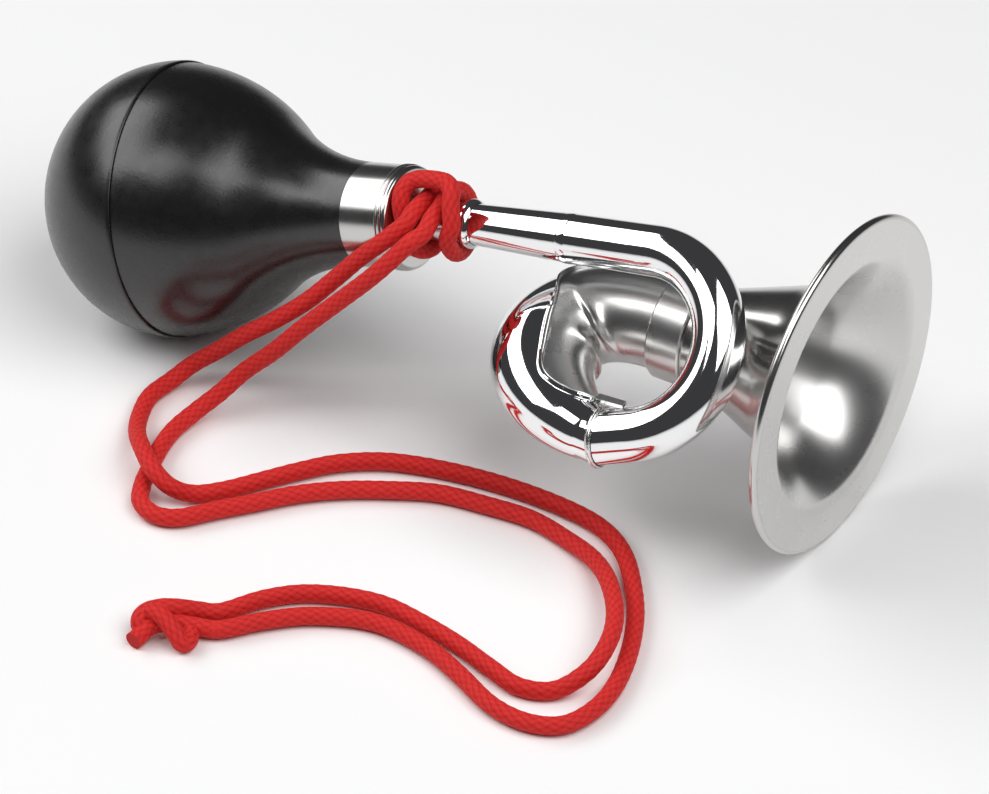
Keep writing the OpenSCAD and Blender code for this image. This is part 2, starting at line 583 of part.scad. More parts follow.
hitch_down = square_to([0, 0, -1], bulb_axis);
hitch_away = cross(bulb_axis, hitch_down);
function hitch_point(key) = bulb_c + (hitch_at + key[0]) * bulb_axis + mix(hitch_r, bar_r, key[2])
    * (cos(hitch_face - key[1]) * hitch_down + sin(hitch_face - key[1]) * hitch_away);
hitch_keys = concat([far_route[1], far_route[0]], [for (key = reversed(hitch_left)) hitch_point(key)],
    [for (key = hitch_right) hitch_point(key)], [near_route[0], near_route[1]]);
hitch_path = curve(hitch_keys, 3);
apart = 8; // rings between two places that count as different turns
hitch_gap = min([for (i = [0:len(hitch_path) - 1], j = [0:len(hitch_path) - 1]) if (j > i + apart)
    norm(hitch_path[i] - hitch_path[j])]) - hitch_d;
echo(hitch_rings = len(hitch_path), hitch_least_gap = hitch_gap);

module lanyard_hitch() {
    color(red) in_frame() cord_along(hitch_path, tangents(hitch_path), hitch_d, wound_sides);
}

module lanyard_far() {
    color(red) in_frame() cord_between(hitch_keys[2], far_route, knot_point(-4, 0, 0), cord_d, cord_sides);
}

module lanyard_near() {
    color(red) in_frame()
        cord_between(hitch_keys[len(hitch_keys) - 3], near_route, knot_point(-6, 190, knot_r + 1), cord_d, cord_sides);
}

// Knot: the near end is tied once round the far end, and both leave short tails
knot_axis = [-0.6, -0.8, 0];
knot_side = [0.8, -0.6, 0];
knot_c = [-98.5, -109, 6.5];
knot_r = 4.1;
function knot_point(along, turn, r) = knot_c + along * knot_axis
    + r * (cos(turn) * knot_side + sin(turn) * [0, 0, 1]);
knot_core = curve([far_route[39], far_route[40], knot_point(-4, 0, 0), knot_point(1, 0, 0),
    knot_point(5, -90, 1), knot_point(9, -90, 2.5), knot_point(11, -90, 3)], 3);
knot_wrap = curve(concat([near_route[38], near_route[39], knot_point(-6, 190, knot_r + 1)],
    [for (i = [0:8]) knot_point(mix(-2.7, 2.7, i / 8), mix(170, -210, i / 8), knot_r)],
    [knot_point(5.5, -228, knot_r + 1), knot_point(9, -222, knot_r + 1.5), knot_point(11, -222, knot_r + 1.5)]), 3);

module lanyard_knot() {
    color(red) in_frame() {
        cord_along(knot_core, tangents(knot_core), cord_d, cord_sides);
        cord_along(knot_wrap, tangents(knot_wrap), cord_d, cord_sides);
    }
}

// Places of the joints and mounts, in the shifted frame
echo(bulb_middle = bulb_c + frame_shift, bulb_axis = bulb_axis, squeeze = squeeze);
echo(tongue_hinge = bulb_c + frame_shift + tongue_root * bulb_axis - (shallot_flat + run / 2) * hitch_down);
echo(mouth = [0, 0, bell_r] + frame_shift, ferrule = bulb_c + (ferrule_at + ferrule_len / 2) * bulb_axis + frame_shift);

bulb_rear();
bulb_front();
bulb_ferrule();
ferrule_cap();
neck_collar();
neck_tube();
neck_solder();
front_bend();
bend_solder();
elbow_outer_shell();
elbow_inner_shell();
throat_sleeve();
bell();
reed_bush();
reed_shallot();
reed_tongue();
reed_wedge();
lanyard_hitch();
lanyard_far();
lanyard_near();
lanyard_knot();
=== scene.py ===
import math

import bmesh
import bpy
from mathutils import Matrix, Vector


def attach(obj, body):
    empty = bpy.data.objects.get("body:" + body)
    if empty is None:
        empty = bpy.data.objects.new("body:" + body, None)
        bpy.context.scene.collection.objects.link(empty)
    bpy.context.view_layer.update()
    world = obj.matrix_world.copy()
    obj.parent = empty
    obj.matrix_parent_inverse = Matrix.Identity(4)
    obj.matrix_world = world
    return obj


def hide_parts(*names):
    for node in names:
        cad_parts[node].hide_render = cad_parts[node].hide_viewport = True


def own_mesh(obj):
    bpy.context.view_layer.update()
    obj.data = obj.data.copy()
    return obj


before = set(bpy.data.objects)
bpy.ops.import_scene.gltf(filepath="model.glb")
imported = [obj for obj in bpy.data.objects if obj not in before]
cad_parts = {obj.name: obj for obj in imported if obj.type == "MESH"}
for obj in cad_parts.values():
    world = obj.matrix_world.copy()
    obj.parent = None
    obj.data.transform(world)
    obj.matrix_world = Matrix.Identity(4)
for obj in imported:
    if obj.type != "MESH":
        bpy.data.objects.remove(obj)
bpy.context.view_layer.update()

# Rubber bulb
# A hollow ball of black rubber, moulded in one piece with a parting seam round it. The back springs in
# when it is squeezed, and the longer front folds behind it and runs into a neck that the ferrule holds.
mm = 0.001
mouth = Vector((95.7, 1.88672, 0.0))
bulb_middle = mouth + Vector((-161.0, -9.5, 30.4))
noise_low, noise_high = 0.3, 0.7


def heading(pitch, yaw):
    p, y = math.radians(pitch), math.radians(yaw)
    return Vector((math.cos(p) * math.cos(y), math.cos(p) * math.sin(y), math.sin(p)))


def mix(a, b, t):
    return a + (b - a) * t


def square_to(v, axis):
    return (v - v.dot(axis) * axis).normalized()


def join_rings(bm, low, high):
    count = len(low)
    for k in range(count):
        bm.faces.new((low[k], low[(k + 1) % count], high[(k + 1) % count], high[k]))


def piece_from(name, bm, material, crease=32):
    bmesh.ops.remove_doubles(bm, verts=bm.verts, dist=1e-6)
    bmesh.ops.recalc_face_normals(bm, faces=bm.faces)
    mesh = bpy.data.meshes.new(name)
    bm.to_mesh(mesh)
    bm.free()
    mesh.polygons.foreach_set("use_smooth", [True] * len(mesh.polygons))
    mesh.set_sharp_from_angle(angle=math.radians(crease))
    mesh.materials.append(material)
    piece = bpy.data.objects.new(name, mesh)
    bpy.context.collection.objects.link(piece)
    return piece


def turned(name, outline, middle, axis, material, around=128, closed=True, crease=32):
    """An outline of (along the axis, radius) points in millimetres, turned about the axis."""
    a = square_to(Vector((0, 0, 1)) if abs(axis.z) < 0.8 else Vector((0, 1, 0)), axis)
    b = axis.cross(a)
    turns = [2 * math.pi * k / around for k in range(around)]
    bm = bmesh.new()
    rings = []
    for along, radius in outline:
        ring = [middle + along * axis + radius * (math.cos(t) * a + math.sin(t) * b) for t in turns]
        rings.append([bm.verts.new(p * mm) for p in ring])
    if closed:
        rings.append(rings[0])
    for low, high in zip(rings, rings[1:]):
        join_rings(bm, low, high)
    return piece_from(name, bm, material, crease)


def arc(middle, radius, first, last, steps):
    """Points (along, radius) on an arc; the angle is measured from straight out, toward the bell."""
    turns = [math.radians(mix(first, last, i / steps)) for i in range(steps + 1)]
    return [(middle[0] + radius * math.sin(t), middle[1] + radius * math.cos(t)) for t in turns]


def new_material(name):
    material = bpy.data.materials.new(name)
    material.use_nodes = True
    nodes = material.node_tree.nodes
    return material, nodes, material.node_tree.links, nodes["Principled BSDF"]


def noise(nodes, links, source, scale, detail):
    node = nodes.new("ShaderNodeTexNoise")
    node.inputs["Scale"].default_value = scale
    node.inputs["Detail"].default_value = detail
    links.new(source, node.inputs["Vector"])
    return node.outputs["Fac"]


def noise_range(nodes, links, source):
    """A map range node that takes the usual span of a noise."""
    node = nodes.new("ShaderNodeMapRange")
    node.inputs["From Min"].default_value = noise_low
    node.inputs["From Max"].default_value = noise_high
    links.new(source, node.inputs["Value"])
    return node


def two_tone(nodes, links, source, first, second, socket):
    node = nodes.new("ShaderNodeMix")
    node.data_type = "RGBA"
    node.inputs["A"].default_value = (*first, 1)
    node.inputs["B"].default_value = (*second, 1)
    links.new(source, node.inputs["Factor"])
    links.new(node.outputs["Result"], socket)


def relief(nodes, links, source, shader, distance, strength):
    node = nodes.new("ShaderNodeBump")
    node.inputs["Distance"].default_value = distance
    node.inputs["Strength"].default_value = strength
    links.new(source, node.inputs["Height"])
    links.new(node.outputs["Normal"], shader.inputs["Normal"])


bulb_axis, seam_axis = heading(16.5, 0.5), heading(15.2, 5.1)
bulb_r, front_r, front_from, front_start, seam_at = 30.4, 30.1, 3.0, 4, 0.2
front_arc, neck_fillet, ferrule_r, ferrule_at, ferrule_end = 44.5, 40.0, 11.3, 50.0, 61.0
rubber_wall, lap_wall, squeeze, squeeze_from = 2.6, 0.62, 10, 2.6
lip_from, lip_points = 0.25, ((0.08, 0.1), (0, 0.28))
lap_at, lap_points = -3.6, ((-3.6, 0.5), (-2.4, 0.32))
plug_gap, plug_r, plug_end, plug_bore = 0.1, 10.3, 60.9, 6.5
rubber_dark, rubber_pale = (0.004, 0.004, 0.0044), (0.008, 0.008, 0.0085)
rubber_smooth, rubber_rough, pore_depth = 0.25, 0.31, 0.00006

rubber, nodes, links, shader = new_material("black_rubber")
place = nodes.new("ShaderNodeTexCoord").outputs["Object"]
shader.inputs["Specular IOR Level"].default_value = 0.74
bloom = noise(nodes, links, place, 55, 5)
two_tone(nodes, links, bloom, rubber_dark, rubber_pale, shader.inputs["Base Color"])
sheen = noise_range(nodes, links, noise(nodes, links, place, 320, 4))
sheen.inputs["To Min"].default_value = rubber_smooth
sheen.inputs["To Max"].default_value = rubber_rough
links.new(sheen.outputs["Result"], shader.inputs["Roughness"])
relief(nodes, links, noise(nodes, links, place, 1500, 3), shader, pore_depth, 0.35)

back_rim = math.degrees(math.asin((seam_at - lip_from) / bulb_r))
back_outer = arc((0, 0), bulb_r, -90, back_rim, 56)
back_inner = arc((0, 0), bulb_r - lap_wall, back_rim, -90, 40)
back_lip = [(seam_at - short, bulb_r - below) for short, below in lip_points]
bulb_rear = turned("bulb_rear_rubber", back_outer + back_lip + back_inner, bulb_middle, seam_axis, rubber,
                   closed=False, crease=50)
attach(bulb_rear, "bulb_back")
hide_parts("bulb_rear")

both_arcs = front_arc + neck_fillet
hollow_run = math.sqrt(both_arcs ** 2 - (front_arc - front_r + ferrule_r + neck_fillet) ** 2)
turn_end = math.degrees(math.asin(hollow_run / both_arcs))
swell_middle = (-front_from, front_r - front_arc)
hollow_middle = (hollow_run - front_from, ferrule_r + neck_fillet)
front_outer = arc(swell_middle, front_arc, front_start, turn_end, 44)
front_outer += arc(hollow_middle, neck_fillet, 180 + turn_end, 180, 32)[1:]
front_inner = arc(swell_middle, front_arc - rubber_wall, front_start, turn_end, 32)
front_inner += arc(hollow_middle, neck_fillet + rubber_wall, 180 + turn_end, 180, 24)[1:]
front_lap = [(lap_at, front_r - rubber_wall)] + [(along, front_r - below) for along, below in lap_points]
plug_at = ferrule_at - plug_gap
neck_end = [(plug_at, ferrule_r), (plug_at, plug_r), (plug_end, plug_r), (plug_end, plug_bore),
            (ferrule_at, plug_bore)]
bulb_front = turned("bulb_front_rubber", front_lap + front_outer + neck_end + front_inner[::-1],
                    bulb_middle, bulb_axis, rubber, crease=50)
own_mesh(bulb_front)
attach(bulb_front, "horn")
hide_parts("bulb_front")

# Ferrule and cap
# A short sheet band, nickel plated, pressed over the rubber neck with two fine beads at its end. A turned
# cap closes it: its nipple holds the reed inside the neck, and its spigot carries the lanyard's hitch.


def new_sockets(tree, inputs, outputs):
    """Named sockets of a node group, from (name, type) pairs; gives their identifiers by name."""
    made = {}
    for way, pairs in (("INPUT", inputs), ("OUTPUT", outputs)):
        for label, kind in pairs:
            socket = tree.interface.new_socket(label, in_out=way, socket_type="NodeSocket" + kind)
            made[label] = socket.identifier
    return made


def fine_wear():
    """Soft cloudy marks of a handled plated surface."""
    tree = bpy.data.node_groups.new("fine_wear", "ShaderNodeTree")
    new_sockets(tree, (("Place", "Vector"), ("Size", "Float"), ("Dull", "Float"), ("Bright", "Float")),
                (("Roughness", "Float"), ("Height", "Float")))
    nodes, links = tree.nodes, tree.links
    given, put = nodes.new("NodeGroupInput"), nodes.new("NodeGroupOutput")
    cloud = nodes.new("ShaderNodeTexNoise")
    cloud.inputs["Detail"].default_value = 4
    links.new(given.outputs["Place"], cloud.inputs["Vector"])
    links.new(given.outputs["Size"], cloud.inputs["Scale"])
    blur = noise_range(nodes, links, cloud.outputs["Fac"])
    links.new(given.outputs["Bright"], blur.inputs["To Min"])
    links.new(given.outputs["Dull"], blur.inputs["To Max"])
    links.new(blur.outputs["Result"], put.inputs["Roughness"])
    links.new(cloud.outputs["Fac"], put.inputs["Height"])
    return tree


wear = fine_wear()


def metal(name, colour, size, bright, dull, wave):
    """A metal's finish; its roughness runs from bright to dull, and wave is its relief in metres."""
    material, nodes, links, shader = new_material(name)
    shader.inputs["Metallic"].default_value = 1
    shader.inputs["Base Color"].default_value = (*colour, 1)
    marks = nodes.new("ShaderNodeGroup")
    marks.node_tree = wear
    links.new(nodes.new("ShaderNodeTexCoord").outputs["Object"], marks.inputs["Place"])
    marks.inputs["Size"].default_value = size
    marks.inputs["Bright"].default_value = bright
    marks.inputs["Dull"].default_value = dull
    links.new(marks.outputs["Roughness"], shader.inputs["Roughness"])
    relief(nodes, links, marks.outputs["Height"], shader, wave, 1)
    return material


satin = metal("satin_nickel", (0.68, 0.675, 0.665), size=60, bright=0.26, dull=0.3, wave=0.0000008)
polished = metal("polished_nickel", (0.59, 0.58, 0.565), size=60, bright=0.17, dull=0.21, wave=0.000002)
band_wall, band_round, bead_r, bead_sunk, bead_places = 0.9, 0.2, 0.28, 0.05, (59.6, 60.6)
beads = []
for bead_at in bead_places:
    beads += arc((bead_at, ferrule_r - bead_sunk), bead_r, -80, 80, 6)
band = [(ferrule_at, ferrule_r - band_wall), (ferrule_at, ferrule_r - band_round),
        (ferrule_at + band_round, ferrule_r)]
band += beads + [(ferrule_end, ferrule_r - bead_sunk), (ferrule_end, ferrule_r - band_wall)]
ferrule = turned("ferrule_band", band, bulb_middle, bulb_axis, polished)
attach(ferrule, "horn")
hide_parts("bulb_ferrule")

nipple_at, nipple_r, nipple_bore = 52.0, 6.4, 5.2
cap_at, cap_round_at, cap_round, cap_face = 61.1, 61.3, 0.9, 62.2
spigot_r, spigot_bore, spigot_from, spigot_end = 4.4, 3.5, 61.0, 72.2
cap_line = [(nipple_at, nipple_bore), (nipple_at, nipple_r), (cap_at, nipple_r), (cap_at, ferrule_r)]
cap_line += arc((cap_round_at, ferrule_r - cap_round), cap_round, 0, 90, 8)
cap_line += [(cap_face, spigot_r), (spigot_end, spigot_r), (spigot_end, spigot_bore),
             (spigot_from, spigot_bore), (spigot_from, nipple_bore)]
cap = turned("ferrule_cap_turned", cap_line, bulb_middle, bulb_axis, polished)
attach(cap, "horn")
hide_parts("ferrule_cap")

# Reed
# A cork bush in the nipple grips a brass half tube, and a thin brass tongue lies over its slot, held at
# the root by a wedge. The pieces stay as they were cut, and only take their finishes here.
reed_brass = metal("reed_brass", (0.78, 0.6, 0.28), size=200, bright=0.2, dull=0.34, wave=0.00001)
cork_dark, cork_pale = (0.42, 0.27, 0.14), (0.66, 0.48, 0.3)
cork, nodes, links, shader = new_material("pressed_cork")
grain = noise(nodes, links, nodes.new("ShaderNodeTexCoord").outputs["Object"], 700, 3)
two_tone(nodes, links, grain, cork_dark, cork_pale, shader.inputs["Base Color"])
shader.inputs["Roughness"].default_value = 0.85
for name, finish in (("reed_shallot", reed_brass), ("reed_tongue", reed_brass), ("reed_wedge", reed_brass),
                     ("reed_bush", cork)):
    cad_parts[name].data.materials.clear()
    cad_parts[name].data.materials.append(finish)

# Neck tube and collar
# A straight, slightly conical brass tube, chrome plated, with a bead collar pushed on beside the hitch.
# Its wide end laps under the bend, and a thin run of solder, plated over, closes the lap.
chrome = metal("bright_chrome", (0.87, 0.875, 0.88), size=45, bright=0.035, dull=0.07, wave=0.00012)
hub_at, neck_r0, neck_r1, neck_len, neck_steps = 73, 4.3, 5.4, 29.0, 24
tube_wall, tube_gap = 0.8, 0.1
hub = bulb_middle + hub_at * bulb_axis
neck_axis = heading(12, 1.5)
shares = [i / neck_steps for i in range(neck_steps + 1)]
outside = [(mix(tube_gap, neck_len, share), mix(neck_r0, neck_r1, share)) for share in shares]
inside = [(along, radius - tube_wall) for along, radius in outside[::-1]]
neck = turned("neck_tube_plated", outside + inside, hub, neck_axis, chrome)
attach(neck, "horn")
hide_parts("neck_tube")

collar_at, collar_low, collar_round, collar_half, collar_bore = 4.0, 3.6, 1.8, 1.4, 4.62
collar_line = arc((collar_at, collar_low), collar_round, -58, 58, 24)
collar_line += [(collar_at + collar_half, collar_bore), (collar_at - collar_half, collar_bore)]
collar = turned("neck_collar_bead", collar_line, hub, neck_axis, chrome)
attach(collar, "horn")
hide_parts("neck_collar")

lap_half, lap_sunk, lap_low, lap_round = 1.2, 0.1, 9.0, 9.06
lap_line = [(neck_len - lap_half, neck_r1 - lap_sunk)]
lap_line += arc((neck_len, neck_r1 - lap_low), lap_round, -7, 7, 12)
lap_line += [(neck_len + lap_half, neck_r1 - lap_sunk)]
lap = turned("neck_solder_run", lap_line, hub, neck_axis, chrome)
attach(lap, "horn")
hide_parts("neck_solder")

# Front bend
# The tube turns down and back in one half circle that leans toward the front. It is drawn brass, bent
# by hand over a former and chrome plated, and is mitred at the bottom where the elbow meets it.
bend_r, bend_sweep, bend_lead, bend_tail, bend_r1 = 19.8, 168.0, 20.8, 7.5, 6.0
bend_tilt, elbow_dip, bell_r, bend_sides = math.radians(43.5), math.radians(2), 37.8, 72
lead_steps, sweep_steps, tail_steps = 12, 72, 6
back = Vector((-1, 0, 0))
neck_tip = hub + neck_len * neck_axis
bend_start = neck_tip + bend_lead * neck_axis
bend_down = square_to(Vector((0, 0, -1)), neck_axis)
inward = math.cos(bend_tilt) * bend_down + math.sin(bend_tilt) * bend_down.cross(neck_axis)
bend_middle = bend_start + bend_r * inward


def bend_at(degrees):
    t = math.radians(degrees)
    return bend_middle - bend_r * math.cos(t) * inward + bend_r * math.sin(t) * neck_axis


bend_way = math.cos(math.radians(bend_sweep)) * neck_axis + math.sin(math.radians(bend_sweep)) * inward
bend_end = bend_at(bend_sweep)
joint = bend_end + bend_tail * bend_way
bend_line = [neck_tip + mix(tube_gap, bend_lead, i / lead_steps) * neck_axis for i in range(lead_steps)]
bend_line += [bend_at(bend_sweep * i / sweep_steps) for i in range(sweep_steps + 1)]
bend_line += [bend_end + bend_tail * i / tail_steps * bend_way for i in range(1, tail_steps + 1)]
bell_middle = mouth + Vector((0, 0, bell_r))
elbow_out = Vector((0, joint.y - bell_middle.y, joint.z - bell_middle.z)).normalized()
elbow_dir = math.cos(elbow_dip) * back - math.sin(elbow_dip) * elbow_out
mitre = (bend_way + elbow_dir).normalized()


def run_lengths(line):
    total, lengths = 0.0, [0.0]
    for a, b in zip(line, line[1:]):
        total += (b - a).length
        lengths.append(total)
    return lengths


def onto_mitre(point, along):
    return point + along * ((joint - point).dot(mitre) / along.dot(mitre))


def carried(line, first_side, last_way):
    """Directions along a line, and a side direction carried along it without twist."""
    ways = [(line[min(i + 1, len(line) - 1)] - line[max(i - 1, 0)]).normalized() for i in range(len(line))]
    ways[-1] = last_way
    sides = []
    side = first_side
    for way in ways:
        side = square_to(side, way)
        sides.append(side)
    return ways, sides


def bend_wall(bm, inset):
    """One side of the bend's sheet, as rings along its line; the last ring lies on the mitre."""
    lengths = run_lengths(bend_line)
    ways, sides = carried(bend_line, inward, bend_way)
    turns = [2 * math.pi * k / bend_sides for k in range(bend_sides)]
    rings = []
    for point, way, side, length in zip(bend_line, ways, sides, lengths):
        radius = mix(neck_r1, bend_r1, length / lengths[-1]) - inset
        other = way.cross(side)
        ring = [point + radius * (math.cos(t) * side + math.sin(t) * other) for t in turns]
        if length == lengths[-1]:
            ring = [onto_mitre(p, way) - tube_gap * way for p in ring]
        rings.append([bm.verts.new(p * mm) for p in ring])
    return rings


bm = bmesh.new()
bend_outer, bend_inner = bend_wall(bm, 0.0), bend_wall(bm, tube_wall)
for rings in (bend_outer, bend_inner):
    for low, high in zip(rings, rings[1:]):
        join_rings(bm, low, high)
join_rings(bm, bend_outer[0], bend_inner[0])
join_rings(bm, bend_outer[-1], bend_inner[-1])
bend = piece_from("front_bend_tube", bm, chrome)
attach(bend, "horn")
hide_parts("front_bend")

solder = metal("plated_solder", (0.78, 0.78, 0.77), size=900, bright=0.1, dull=0.3, wave=0.00012)
ring_half, ring_bore, ring_low, ring_round = 0.7, 6.15, 6.1, 0.6
joint_line = [(-ring_half, ring_bore)] + arc((0, ring_low), ring_round, -80, 80, 14)
joint_line += [(ring_half, ring_bore)]
joint_solder = turned("bend_solder_ring", joint_line, joint, mitre, solder, around=96)
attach(joint_solder, "horn")
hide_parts("bend_solder")

# Elbow
# Two stamped half shells make the widening turn from the joint to the bell. They are soldered along a
# standing lip that starts inside the turn and winds up to its top; the outer half is plated bright. The
# inner half has a fold pressed across the inside of the turn, and the lip ends in a small square tab.
throat_x, elbow_r1, pull0, pull1, shell_wall, shell_gap = -38.0923, 11.3, 34.4, 36.6, 0.8, 0.1
lip_sheet, lip_gap, lip_round, lip_foot, lip_spots = 0.5, 0.05, 0.12, 1.3, 7
lip_clear0, lip_clear1, lip_step, flush_lip = 1.5, 4.6, 0.003, 0.02
elbow_rings, half_steps, lip_ring, widening, swell_turn = 180, 40, 2, 0.7, math.radians(8)
seam_keys = [(0, 15), (0.016, 38), (0.034, 58), (0.064, 70), (0.1, 78), (0.15, 85), (0.2, 87), (0.24, 83),
             (0.3, 73), (0.35, 68), (0.42, 67), (0.49, 72), (0.54, 80), (0.58, 93), (0.62, 120), (0.66, 138),
             (0.75, 150), (1, 150)]
swell_keys = [(0, 0), (0.06, 2), (0.12, 3.4), (0.2, 4.6), (0.3, 5.5), (0.4, 6), (0.5, 5.8), (0.6, 3.6),
              (0.7, 1), (0.8, 0), (1, 0)]
lip_keys = [(0, 0.5), (0.03, 0.7), (0.06, 1.0), (0.1, 1.0), (1, 1.0)]
fold_keys = [(-24, 0.8), (6, 0.746), (28, 0.687), (54, 0.645), (96, 0.624)]
fold_low, fold_high, fold_width, fold_height, fold_fade = -24, 96, 0.014, 1.8, 0.6
elbow_up = elbow_out.cross(Vector((1, 0, 0)))
elbow_end = bell_middle + Vector((throat_x - shell_gap, 0, 0))
pulls = (joint, joint + pull0 * elbow_dir, elbow_end + pull1 * back, elbow_end)
mitre_rise = math.sqrt((bend_r1 / mitre.dot(elbow_dir)) ** 2 - bend_r1 ** 2)
lip_first, lip_last = (mitre_rise + lip_clear0) / (3 * pull0), 1 - lip_clear1 / (3 * pull1)
places = [0, lip_first * 0.5, lip_first]
places += [mix(lip_first + lip_step, lip_last - lip_step, i / elbow_rings) for i in range(elbow_rings + 1)]
places += [lip_last, 0.985, 1]
tab_root, tab_across = joint + Vector((-3.0, 1.4, 8.2)), elbow_dir.cross(elbow_up)
tab_along = (Vector((0, 0.15, 0)) - elbow_dir).normalized()
tab_reach, tab_width, tab_sheet, tab_part = (0.6, 6.8), (0, 1.6), (0, 0.4), 0.225


def keyed(keys, x):
    """A smooth value through (place, value) keys."""
    i = max(k for k in range(len(keys) - 1) if k == 0 or keys[k][0] <= x)
    (x0, y0), (x1, y1) = keys[i], keys[i + 1]
    before, after = keys[max(i - 1, 0)], keys[min(i + 2, len(keys) - 1)]
    t = (x - x0) / (x1 - x0)
    rise0 = (y1 - before[1]) / (x1 - before[0]) * (x1 - x0)
    rise1 = (after[1] - y0) / (after[0] - x0) * (x1 - x0)
    return (y0 * (2 * t ** 3 - 3 * t * t + 1) + rise0 * (t ** 3 - 2 * t * t + t)
            + y1 * (3 * t * t - 2 * t ** 3) + rise1 * (t ** 3 - t * t))


def elbow_at(t):
    s = 1 - t
    return s ** 3 * pulls[0] + 3 * s * s * t * pulls[1] + 3 * s * t * t * pulls[2] + t ** 3 * pulls[3]


def elbow_way(t):
    s = 1 - t
    first, middle, last = pulls[1] - pulls[0], pulls[2] - pulls[1], pulls[3] - pulls[2]
    return (s * s * first + 2 * s * t * middle + t * t * last).normalized()


def fold(share, degrees):
    """The height of the pressed fold, a low slanting ridge across the inside of the turn."""
    turn = min(max(degrees, fold_low), fold_high)
    off = (share - keyed(fold_keys, turn)) / fold_width
    crest = math.sin(math.pi * (turn - fold_low) / (fold_high - fold_low))
    return fold_height * crest / (1 + math.exp(-2 * off)) * math.exp(-fold_fade * max(0, off))


elbow_lengths = run_lengths([elbow_at(t) for t in places])


def half_shell(name, way, material):
    bm = bmesh.new()
    rings = []
    lip_start = elbow_lengths[lip_ring]
    for t, length in zip(places, elbow_lengths):
        side = elbow_way(t).cross(elbow_up)
        share = max(0, length - lip_start) / (elbow_lengths[-1] - lip_start)
        plain, swell = mix(bend_r1, elbow_r1, share ** widening), keyed(swell_keys, share)
        height = keyed(lip_keys, share) if lip_first < t < lip_last else flush_lip
        edge = min(lip_round, height / 2)
        seam = keyed(seam_keys, share)
        gap, lip = math.degrees(lip_gap / plain), math.degrees(lip_sheet / plain)
        first, last = seam + way * gap, seam + way * (180 - gap)
        root, foot = first + way * lip, first + way * lip_foot * lip
        spots = [(-shell_wall, first), (height - edge, first), (height, first + way * 0.25 * lip),
                 (height, first + way * 0.75 * lip), (height - edge, root), (edge, root), (0, foot)]
        spots += [(0, mix(foot, last, k / half_steps)) for k in range(1, half_steps + 1)]
        spots += [(-shell_wall, mix(root, last, k / half_steps)) for k in range(half_steps, 0, -1)]
        ring = []
        for rise, degrees in spots:
            a = math.radians(degrees)
            toward = max(0, math.cos(a + swell_turn))
            radius = plain + swell * toward * toward + fold(share, degrees) + rise
            p = elbow_at(t) + radius * (math.cos(a) * side + math.sin(a) * elbow_up)
            if t == 0:
                p = onto_mitre(p, elbow_dir) + shell_gap * elbow_dir
            ring.append(bm.verts.new(p * mm))
        rings.append(ring)
    for low, high in zip(rings, rings[1:]):
        join_rings(bm, low, high)
    for ring in (rings[0], rings[-1]):
        inner = [ring[0]] + ring[:lip_spots + half_steps - 1:-1]
        outer = ring[lip_spots - 1:lip_spots + half_steps]
        bm.faces.new(ring[:lip_spots])
        for k in range(half_steps):
            bm.faces.new((inner[k], outer[k], outer[k + 1], inner[k + 1]))
    plate = [tab_root + a * tab_along + b * tab_across - (c + tab_part * way) * elbow_up
             for a in tab_reach for b in tab_width for c in tab_sheet]
    bmesh.ops.convex_hull(bm, input=[bm.verts.new(p * mm) for p in plate])
    return piece_from(name, bm, material, 40)


outer_shell = half_shell("elbow_outer_half", 1, chrome)
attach(outer_shell, "horn")
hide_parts("elbow_outer_shell")
inner_shell = half_shell("elbow_inner_half", -1, satin)
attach(inner_shell, "horn")
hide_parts("elbow_inner_shell")

# Throat sleeve and bell
# The bell is spun from one sheet: a plain narrow end, a straight cone, a flare, a flat flange and a rolled
# rim. It is satin inside and brighter outside. A short sleeve joins it to the elbow.
bell_axis = Vector((1, 0, 0))
throat_r, throat_turn, flare_turn, brow_turn, flange_r, sheet = 11.4, 14.0, 27.0, 4.5, 30.0, 0.9
cone, brow, turn_steps, rim_r, rim_from = math.radians(20.6), math.radians(55), 24, 1.0, 2.2
brow_x = -sheet - brow_turn
flare_x = brow_x - (flare_turn - brow_turn) * math.sin(brow)
flare_y = flange_r + (flare_turn - brow_turn) * math.cos(brow)
cone_rise = flare_y - flare_turn * math.cos(cone) - throat_r - throat_turn * (1 - math.cos(cone))
bend_x = flare_x + (flare_turn - throat_turn) * math.sin(cone) - cone_rise / math.tan(cone)
bell_turns = ((bend_x, throat_r + throat_turn, throat_turn, 0, cone),
              (flare_x, flare_y, flare_turn, cone, brow),
              (brow_x, flange_r, brow_turn, brow, math.pi / 2))


def flare(inset):
    """The turn at the throat, the straight cone, the flare and the turn into the flange."""
    line = []
    for x, y, radius, first, last in bell_turns:
        angles = [mix(first, last, i / turn_steps) for i in range(1, turn_steps + 1)]
        line += [(x + (radius + inset) * math.sin(a), y - (radius + inset) * math.cos(a)) for a in angles]
    return line


rim = arc((-rim_r, bell_r - rim_r), rim_r, -150, 90, 28)
bell_line = [(throat_x, throat_r)] + flare(0) + [(-sheet, bell_r - rim_from)] + rim
bell_line += flare(sheet)[::-1] + [(throat_x, throat_r - sheet)]
bell = turned("bell_spun", bell_line, bell_middle, bell_axis, satin, around=192)
bell.data.materials.append(polished)
for face in bell.data.polygons:
    outward = face.center - bell_middle * mm
    outward.x = 0
    face.material_index = int(face.normal.dot(outward) > 0)
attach(bell, "horn")
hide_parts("bell")

